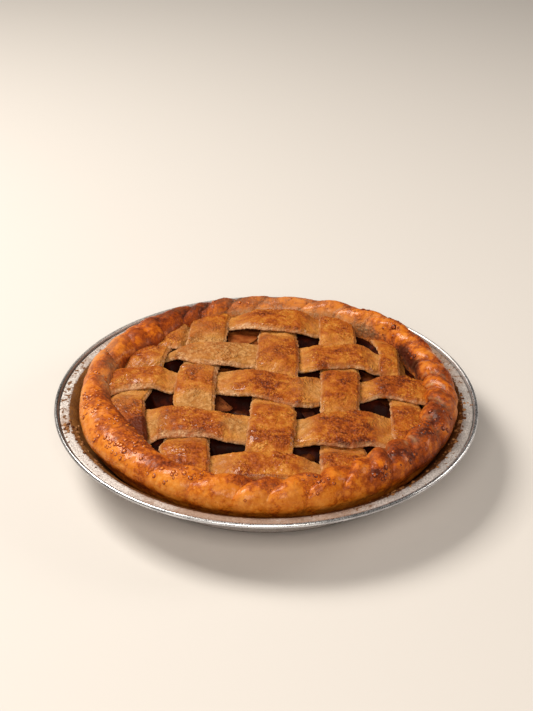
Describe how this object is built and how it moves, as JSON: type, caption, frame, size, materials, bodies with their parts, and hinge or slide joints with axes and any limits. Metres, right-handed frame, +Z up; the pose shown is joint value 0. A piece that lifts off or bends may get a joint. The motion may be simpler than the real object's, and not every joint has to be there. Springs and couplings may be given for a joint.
{
  "type": "apple pie",
  "caption": "Whole baked fruit pie with a woven lattice top and a thick twisted crust rim, in its shallow round pressed-foil tin.",
  "frame": {"origin": "centre of the tin's flat base, on its underside, where the pie rests", "axes": "+Z up, square to the tin's base and rim; the strips named back run along Y and the strips named cross run along X; -Y is the side nearest the viewer"},
  "size_m": [0.245, 0.245, 0.0443],
  "materials": {
    "tin": "satin pressed foil",
    "crust": "baked dough, egg-washed",
    "lattice": "baked dough, dry",
    "filling": "glossy cooked apple in syrup"
  },
  "bodies": {
    "root": {"tin": "tin", "crust": "crust", "filling": "filling", "strip_back_1": "lattice", "strip_back_2": "lattice", "strip_back_3": "lattice", "strip_back_4": "lattice", "strip_back_5": "lattice", "strip_cross_1": "lattice", "strip_cross_2": "lattice", "strip_cross_3": "lattice", "strip_cross_4": "lattice", "strip_cross_5": "lattice"}
  },
  "joints": []
}
